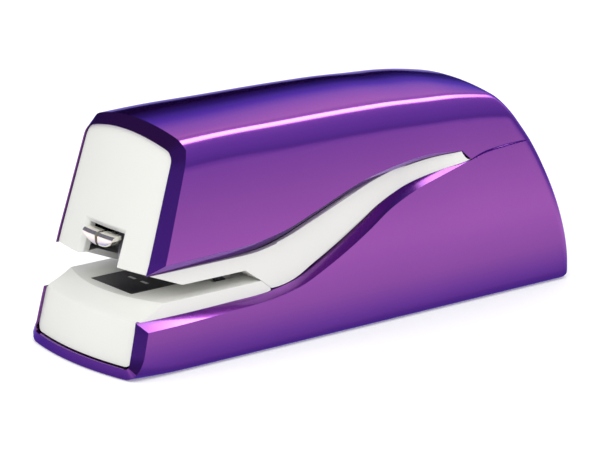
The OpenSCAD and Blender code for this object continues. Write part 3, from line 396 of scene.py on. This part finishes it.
# ---- Front cover ----
# The white face of the head, moulded in satin ABS and set in flush behind the purple rim.
# A splayed window at its foot lets the nose through.
window = [(10.9, 43.6, 0.6), (9.3, 41.9, 2.0), (9.3, 41.9, 4.2)]     # half width, top, set back
foot_z = 32.1


def doorway(path, half, top):
    """Where rays from the foot of the face to each point of path cross an upright opening."""
    ray = path[:, [0, 2]] - np.array([0, foot_z])
    reach = np.minimum(half / np.maximum(np.abs(ray[:, 0]), 1e-6),
                       (top - foot_z) / np.maximum(ray[:, 1], 1e-6))
    spot = ray * reach[:, None]
    for side in (-1, 1):
        corner = np.array([side * half, top - foot_z])
        spot[np.argmin(np.abs(spot - corner).sum(1))] = corner
    return spot + np.array([0, foot_z])


face = upper[1, 2:-2].copy()
face[0, 2] = face[-1, 2] = foot_z
face[:, 0] *= 0.994
rings = []
outer_hole = doorway(face, *window[0][:2])
for t in np.linspace(0, 1, 12):
    flat = (1 - t) * face[:, [0, 2]] + t * outer_hole
    rings.append(np.stack([flat[:, 0], nose_y(flat[:, 0], flat[:, 1]) + 0.6, flat[:, 1]], 1))
for half, top, set_back in window[1:]:
    hole = doorway(face, half, top)
    rings.append(np.stack([hole[:, 0], nose_y(hole[:, 0], hole[:, 1]) + set_back, hole[:, 1]], 1))
edge_behind = rings[0] + np.array([0, 2.2, 0])
rings.insert(0, edge_behind)
rings = np.array(rings)
under = [np.stack([rings[:, k], rings[:, k] + np.array([0, 3.2, 0])]) for k in (0, -1)]
cover = piece("cover", [sheet_of(rings), sheet_of(under[0]), sheet_of(under[1])], soften=0.3)


def satin_plastic(place):
    grain = place.node("ShaderNodeTexNoise", {}, Vector=place, Scale=2600, Detail=3, Roughness=0.6)
    cloud = place.node("ShaderNodeTexNoise", {}, Vector=place, Scale=18, Detail=2, Roughness=0.5)
    tone = cloud.node("ShaderNodeValToRGB", {"stops": [
        (0.3, linear("#E9EAE4")), (0.7, linear("#EEEEE9"))]}, cloud)
    return {
        "Base Color": tone,
        "Roughness": 0.36 + 0.1 * grain,
        "Normal": place.node("ShaderNodeBump", {}, Strength=0.06, Distance=0.00004, Height=grain),
    }


white = finish_of("white_plastic", satin_plastic, Specular_IOR_Level=0.45)
cover.data.materials.append(white)
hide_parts("front_cover")
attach(cover, "root")


def paint_nodes(material, *names):
    """The CAD solids of these names keep their shape and take this finish."""
    for name in names:
        data = nodes[name].data
        data.materials.clear()
        data.materials.append(material)


paint_nodes(white, "mid_frame")

# ---- Band ends ----
# The white band thins to a slanted tip, and comes out flush with the purple skin as it goes.
come_out = curve((-33, 3.15), (22, 3.15), (36, 1.65), (44, 0.3), (50, 0.3))
tips = []
for side in (-1, 1):
    rows_of = []
    for v in np.linspace(0, 1, 7):
        y = np.linspace(-31, 48.3 * (1 - v) + 44.2 * v, 60)
        z = (band_low(y) + 0.05) * (1 - v) + (band_top(y) - 0.05) * v
        rows_of.append(np.stack([side * (half_width(z) - come_out(y)), y, z], 1))
    tip = np.array(rows_of)
    tips += [sheet_of(tip), sheet_of(np.stack([tip[:, -1], tip[:, -1] - [side * 2.5, 0, 0]]))]
band_tips = piece("band_tips", tips, soften=0.15)
band_tips.data.materials.append(white)
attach(band_tips, "root")

# ---- Base deck ----
# The white table under the head, one satin moulding with a sloping apron and a bulged front.
# It drops into the U of the tub, and a slot on the right lets the paper trigger through.
deck_z, deck_half, deck_end = 22.5, 25.1, -37.4
slot_x, slot_y = (13.3, 16.7), (-50.2, -41.2)
across = np.array(sorted({*np.linspace(-deck_half, deck_half, 43).round(3), *slot_x}))
share = across / deck_half
rows_of = []
for z in [3.95, 4.1, 4.4, 4.9, 5.5, 6.3, 7.2, *np.linspace(8.2, 18.0, 9)]:
    r = 3.2
    tuck = r - math.sqrt(max(r * r - max(r - (z - 3.95), 0) ** 2, 0))
    x = share * (half_width(z) - 3.35 - tuck)
    rows_of.append(np.stack([x, toe_y(x, z) + 1.2, 0 * x + z], 1))
brow = rows_of[-1].copy()
crease = -82 + across ** 2 / 105
for t in np.linspace(0.12, 1, 8):
    rows_of.append(np.stack([brow[:, 0] * (1 - t) + across * t,
                             brow[:, 1] * (1 - t) + crease * t,
                             18.2 + (deck_z - 18.2) * (t - 0.06 * math.sin(math.pi * t)) + 0 * across], 1))
for t in np.linspace(0.1, 1, 12):
    rows_of.append(np.stack([across, crease * (1 - t) + slot_y[0] * t, 0 * across + deck_z], 1))
slot_rows = len(rows_of) - 1
for y in (-47, -44, slot_y[1], -39.5, deck_end):
    rows_of.append(np.stack([across, 0 * across + y, 0 * across + deck_z], 1))
table = np.array(rows_of)
keep = np.ones(table.shape[:2], bool)
keep[slot_rows:slot_rows + 3, (across >= slot_x[0] - 0.01) & (across < slot_x[1] - 0.01)] = False
drops = []
for k in (0, -1):
    side = table[15:, k]
    foot = side.copy()
    foot[:, 0] = np.sign(foot[:, 0]) * 25.4
    foot[:, 2] = 17.2
    drops.append(np.stack([side, 0.5 * (side + foot), foot]))
ends = [table[-1]]
for y, z in ((-33.9, 19.75), (-33.9, 18.0)):
    ends.append(table[-1] * [1, 0, 0] + [0, y, z])
for k in (0, -1):
    side = np.array(ends[:2])[:, k]
    drops.append(np.stack([side, side * [1, 1, 0] + [0.3 * np.sign(side[0, 0]), 0, 17.2]]))
foot_row = table[0] + np.array([0, 2.0, 0])
well = [[(x, y, z) for z in (deck_z, deck_z - 3)] for x, y in
        [(slot_x[0], slot_y[0]), (slot_x[1], slot_y[0]), (slot_x[1], slot_y[1]),
         (slot_x[0], slot_y[1]), (slot_x[0], slot_y[0])]]
deck = piece("deck", [sheet_of(table, keep), *[sheet_of(d) for d in drops],
                      sheet_of(np.array(ends)),
                      sheet_of(np.stack([table[0], foot_row])),
                      sheet_of(np.array(well, float))], soften=0.6, steps=3, sharp=20)
deck.data.materials.append(white)
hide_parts("base_deck")
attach(deck, "root")

# ---- Magazine nose ----
# The polished steel cap on the end of the magazine, pressed in two round-bellied lobes with a
# slit between them for the driver.
nose_y0, nose_top = -83.7, 41.1
lobes = []
for side in (-1, 1):
    xs = np.linspace(0.7, 8.15, 14)
    belly = 36.7 + 2.9 * (xs / 8.15) ** 3
    bulge = 0.55 * (xs / 8.15) ** 4
    rows_of = [np.stack([side * xs, 0 * xs - 79.6, 0 * xs + nose_top], 1)]
    for back_by, drop in ((2.2, 0.0), (1.1, 0.1), (0.5, 0.42), (0.16, 0.95), (0.1, 1.5)):
        rows_of.append(np.stack([side * xs, nose_y0 + back_by + bulge, nose_top - drop + 0 * xs], 1))
    for t in (0.3, 0.55, 0.75, 0.9, 1.0):
        z = (nose_top - 1.5) * (1 - t) + belly * t
        rows_of.append(np.stack([side * xs, nose_y0 + bulge + 0.1 + 0.9 * t ** 4 + 0 * z, z], 1))
    rows_of.append(np.stack([side * xs, 0 * xs - 79.6, belly + 0.3], 1))
    grid = np.array(rows_of)
    lobes += [sheet_of(grid), sheet_of(np.stack([grid[:, 0], grid[:, 0] * [1, 0, 1] + [0, -79.6, 0]])),
              sheet_of(np.stack([grid[:, -1], grid[:, -1] * [1, 0, 1] + [0, -79.6, 0]]))]
nose = piece("nose", lobes, soften=0.12)


def polished(place):
    haze = place.node("ShaderNodeTexNoise", {}, Vector=place, Scale=900, Detail=2, Roughness=0.5)
    return {
        "Roughness": 0.06 + 0.06 * haze,
        "Normal": place.node("ShaderNodeBump", {}, Strength=0.03, Distance=0.00003, Height=haze),
    }


chrome = finish_of("nose_chrome", polished, Base_Color=(0.95, 0.93, 0.82, 1), Metallic=0.85)
nose.data.materials.append(chrome)
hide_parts("magazine_nose")
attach(nose, "magazine")

# ---- Anvil ----
# A hardened steel plate let into the deck, browned dark, that bends the staple legs.


def browned(place):
    drawn = place.node("ShaderNodeTexNoise", {}, Vector=place, Scale=1300, Detail=3, Roughness=0.6)
    stain = place.node("ShaderNodeTexNoise", {}, Vector=place, Scale=90, Detail=2, Roughness=0.5)
    return {
        "Base Color": ramp(stain, (0.35, linear("#343338")), (0.7, linear("#424145"))),
        "Roughness": 0.3 + 0.16 * drawn,
        "Normal": place.node("ShaderNodeBump", {}, Strength=0.08, Distance=0.00004, Height=drawn),
    }


anvil_steel = finish_of("anvil_steel", browned, Metallic=0.55)
paint_nodes(anvil_steel, "anvil_plate")

# ---- Magazine, arm and drive ----
# Bright rolled sheet for the magazine, arm, lever and chassis, zinc screws and turned pins.


def metal(name, low, high, base_rough, scale):
    def make(place):
        grain = place.node("ShaderNodeTexNoise", {}, Vector=place, Scale=scale, Detail=3, Roughness=0.6)
        cloud = place.node("ShaderNodeTexNoise", {}, Vector=place, Scale=60, Detail=2, Roughness=0.5)
        return {
            "Base Color": ramp(cloud, (0.35, linear(low)), (0.7, linear(high))),
            "Roughness": base_rough + 0.15 * grain,
            "Normal": place.node("ShaderNodeBump", {}, Strength=0.08, Distance=0.00004, Height=grain),
        }
    return finish_of(name, make, Metallic=0.95)


sheet_steel = metal("sheet_steel", "#9FA2A6", "#B4B7BA", 0.26, 1200)
paint_nodes(sheet_steel, "magazine", "staple_rail", "staple_arm", "drive_lever", "driver_blade",
            "chassis", "motor_bracket", "drive_motor")
paint_nodes(metal("screw_steel", "#8C8F94", "#A6A9AD", 0.3, 1800), "motor_screws", "housing_screws",
            "frame_screws", "chassis_screws", "board_screws", "gear_axles", "axle_clips",
            "pivot_shaft", "pivot_clips", "trigger_pin", "pusher_rod", "chassis_spacers")
paint_nodes(metal("spring_steel", "#84888D", "#9CA0A5", 0.22, 2400), "return_spring",
            "pusher_spring", "battery_springs")
paint_nodes(metal("staple_wire", "#B9BCC0", "#D0D2D4", 0.2, 3000), "staple_strip")
paint_nodes(metal("brass_contact", "#B8923F", "#CDA857", 0.25, 1500), "motor_pinion",
            "battery_contacts", "pivot_bushes")

# ---- Gears, black parts, board and wiring ----
# Moulded acetal gears, black ABS inner parts, rubber feet, a glass-fibre board and its leads.


def moulded(name, low, high, base_rough, scale=1800, bump=0.08, **fixed):
    def make(place):
        grain = place.node("ShaderNodeTexNoise", {}, Vector=place, Scale=scale, Detail=3, Roughness=0.6)
        cloud = place.node("ShaderNodeTexNoise", {}, Vector=place, Scale=45, Detail=2, Roughness=0.5)
        return {
            "Base Color": ramp(cloud, (0.35, linear(low)), (0.7, linear(high))),
            "Roughness": base_rough + 0.12 * grain,
            "Normal": place.node("ShaderNodeBump", {}, Strength=bump, Distance=0.00005, Height=grain),
        }
    return finish_of(name, make, **fixed)


paint_nodes(moulded("gear_plastic", "#E4DFCF", "#ECE8DA", 0.34), "first_gear", "second_gear",
            "crank_gear")
black = moulded("black_plastic", "#1D1E20", "#27282B", 0.42, bump=0.15)
paint_nodes(black, "bottom_cover", "battery_door", "battery_tray", "pusher", "paper_trigger",
            "paper_switch", "supply_socket", "board_parts")
paint_nodes(moulded("foot_rubber", "#2A2B2D", "#333437", 0.72, 900, 0.25), "feet")
paint_nodes(moulded("cell_jacket", "#2F5E7E", "#386B8D", 0.3), "batteries")
paint_nodes(moulded("board_laminate", "#1F5B3A", "#276B46", 0.38), "circuit_board")
paint_nodes(moulded("lead_red", "#A02A26", "#B0332E", 0.45), "motor_leads")
paint_nodes(moulded("lead_black", "#222326", "#2C2D30", 0.45), "supply_leads")

# ---- Floor, light and painted reflections ----
floor_size = 14.0
floor_mesh = bmesh.new()
bmesh.ops.create_grid(floor_mesh, x_segments=8, y_segments=8, size=floor_size / 2)
floor_data = bpy.data.meshes.new("floor")
floor_mesh.to_mesh(floor_data)
floor_mesh.free()
floor = bpy.data.objects.new("floor", floor_data)
bpy.context.scene.collection.objects.link(floor)
white_floor = bpy.data.materials.new("white_floor")
white_floor.use_nodes = True
white_floor.node_tree.nodes.clear()
spot = S(white_floor.node_tree, None).node("ShaderNodeTexCoord", {}, out="Object")
axes = spot.node("ShaderNodeSeparateXYZ", {}, spot)
fx = axes.math("ABSOLUTE", axes) - 0.029
fy = axes.math("ABSOLUTE", S(axes.tree, axes.socket.node.outputs[1])) - 0.094
away = fx.math("MAXIMUM", fx, fy) * 1.67
# Glossy rays see the floor as a glow, not as its lit white: a painted reflection, indigo next to the body, bright a
# little way out and violet further off, that colours the lower sides of the gloss.
painted_floor_reflection = ramp(away, (0.0, (0.2, 0.17, 0.55)), (0.03, (0.5, 0.45, 0.85)), (0.07, (0.95, 0.85, 1.0)),
                (0.16, (1.35, 1.15, 1.25)), (0.32, (0.98, 0.84, 1.0)), (0.45, (0.6, 0.5, 0.92)),
                (0.7, (0.42, 0.36, 0.8)), (0.85, (0.32, 0.27, 0.68)), (1.0, (0.26, 0.22, 0.6)))
ray = spot.node("ShaderNodeLightPath", {}, out="Is Camera Ray")
glossy = S(ray.tree, ray.socket.node.outputs["Is Glossy Ray"])
matt = white_floor.node_tree.nodes.new("ShaderNodeBsdfDiffuse")
matt.inputs["Color"].default_value = (0.93, 0.93, 0.93, 1)
lift = S(ray.tree, spot.node("ShaderNodeEmission", {}, Color=(1, 1, 1, 1), Strength=ray * 0.22).socket)
both = spot.node("ShaderNodeAddShader", {}, S(ray.tree, matt.outputs[0]), lift)
painted_floor_glow = spot.node("ShaderNodeEmission", {}, Color=painted_floor_reflection)
mixed = spot.node("ShaderNodeMixShader", {}, glossy, both, painted_floor_glow)
target = white_floor.node_tree.nodes.new("ShaderNodeOutputMaterial")
white_floor.node_tree.links.new(mixed.socket, target.inputs["Surface"])
floor.data.materials.append(white_floor)

world = bpy.data.worlds.new("studio")
bpy.context.scene.world = world
world.use_nodes = True
sky = S(world.node_tree, None)
ray = sky.node("ShaderNodeLightPath", {}, out="Is Camera Ray")
glossy = S(ray.tree, ray.socket.node.outputs["Is Glossy Ray"])
through = S(ray.tree, ray.socket.node.outputs["Is Transmission Ray"])
seen = ray.math("MAXIMUM", ray, ray.math("MAXIMUM", glossy, through))
surround = world.node_tree.nodes["Background"]
surround.inputs["Color"].default_value = (1, 1, 1, 1)
world.node_tree.links.new((0.9 + 0.1 * seen).socket, surround.inputs["Strength"])

# A dome that glows only in reflections paints reflections onto the gloss: black low on the left,
# violet overhead and behind the lens, and a painted highlight strip along the right shoulder.
painted_dome_mesh = bmesh.new()
bmesh.ops.create_uvsphere(painted_dome_mesh, u_segments=64, v_segments=32, radius=3.0)
bmesh.ops.delete(painted_dome_mesh, geom=[v for v in painted_dome_mesh.verts if v.co.z < -0.01], context="VERTS")
for corner in painted_dome_mesh.faces:
    corner.smooth = True
painted_dome_data = bpy.data.meshes.new("painted_reflection_dome")
painted_dome_mesh.to_mesh(painted_dome_data)
painted_dome_mesh.free()
painted_reflection_dome = bpy.data.objects.new("painted_reflection_dome", painted_dome_data)
bpy.context.scene.collection.objects.link(painted_reflection_dome)
painted_reflection_dome.visible_camera = painted_reflection_dome.visible_diffuse = painted_reflection_dome.visible_shadow = False
painted_reflection_dome.visible_transmission = False
painted_reflection_material = bpy.data.materials.new("painted_reflection_glow")
painted_reflection_material.use_nodes = True
painted_reflection_material.node_tree.nodes.clear()
place = S(painted_reflection_material.node_tree, None).node("ShaderNodeTexCoord", {}, out="Object")
axes = place.node("ShaderNodeSeparateXYZ", {}, place, out="X")
ax, ay, az = axes, *[S(axes.tree, axes.socket.node.outputs[k]) for k in ("Y", "Z")]
sweep = (1 / math.pi) * ax.math("ARCTAN2", az, ax) + 0.117 * (1.8 - ay)
# The stops at strength 9 are the painted highlight: a glowing strip whose reflection lies along the right shoulder.
over = ramp(sweep, (0.0, (0.26, 0.22, 0.6)), (0.05, (0.3, 0.26, 0.7)), (0.30, (0.45, 0.38, 0.88)),
            (0.46, (0.6, 0.5, 0.95)), (0.5, (9, 9, 8.5)), (0.575, (9, 9, 8.5)),
            (0.6, (0.95, 0.8, 1.0)), (0.64, (0.9, 0.74, 0.95)), (0.71, (1.4, 1.1, 1.15)),
            (0.78, (0.85, 0.7, 1.0)), (0.83, (0.25, 0.22, 0.8)), (0.89, (0.04, 0.04, 0.22)),
            (0.94, (0.0, 0.0, 0.02)))
# Toward the lens the painted reflection is dark indigo.
front_side = ramp(sweep, (0.0, (0.26, 0.22, 0.6)), (0.1, (0.32, 0.3, 0.8)),
                  (0.45, (0.16, 0.15, 0.5)), (0.7, (0.05, 0.05, 0.22)), (1.0, (0.02, 0.02, 0.08)))
behind = ay.node("ShaderNodeMapRange", {"interpolation_type": "SMOOTHSTEP"}, ay, 0.4, 1.5)
blend = behind.node("ShaderNodeMix", {"data_type": "RGBA"}, Factor=behind)
mixer = blend.socket.node
painted_reflection_material.node_tree.links.new(front_side.socket, mixer.inputs[6])
painted_reflection_material.node_tree.links.new(over.socket, mixer.inputs[7])
# Past the rear the painted reflection turns to a dimmer pink strip over indigo.
past_rear = ramp(sweep, (0.0, (0.26, 0.22, 0.6)), (0.30, (0.4, 0.34, 0.8)), (0.45, (0.6, 0.5, 0.95)),
                 (0.5, (1.8, 1.2, 1.8)), (0.56, (0.9, 0.7, 1.1)), (0.66, (0.35, 0.3, 0.85)),
                 (0.8, (0.25, 0.22, 0.8)), (0.9, (0.1, 0.09, 0.45)))
rearward = ay.node("ShaderNodeMapRange", {"interpolation_type": "SMOOTHSTEP"}, ay, 1.9, 2.6)
second = rearward.node("ShaderNodeMix", {"data_type": "RGBA"}, Factor=rearward).socket.node
painted_reflection_material.node_tree.links.new(mixer.outputs[2], second.inputs[6])
painted_reflection_material.node_tree.links.new(past_rear.socket, second.inputs[7])
glow = painted_reflection_material.node_tree.nodes.new("ShaderNodeEmission")
painted_reflection_material.node_tree.links.new(second.outputs[2], glow.inputs["Color"])
end_node = painted_reflection_material.node_tree.nodes.new("ShaderNodeOutputMaterial")
painted_reflection_material.node_tree.links.new(glow.outputs[0], end_node.inputs["Surface"])
painted_reflection_dome.data.materials.append(painted_reflection_material)

# One broad lamp high on the right gives the white parts their shape.
lamp = bpy.data.objects.new("key", bpy.data.lights.new("key", "AREA"))
bpy.context.scene.collection.objects.link(lamp)
lamp.data.shape, lamp.data.size, lamp.data.size_y = "RECTANGLE", 1.2, 0.9
lamp.data.energy = 7
lamp.location = (0.7, -0.5, 1.3)
lamp.rotation_euler = (Vector((0, 0, 0.03)) - lamp.location).to_track_quat("-Z", "Y").to_euler()
lamp.visible_glossy = False

view = bpy.context.scene.view_settings
view.view_transform = "Standard"
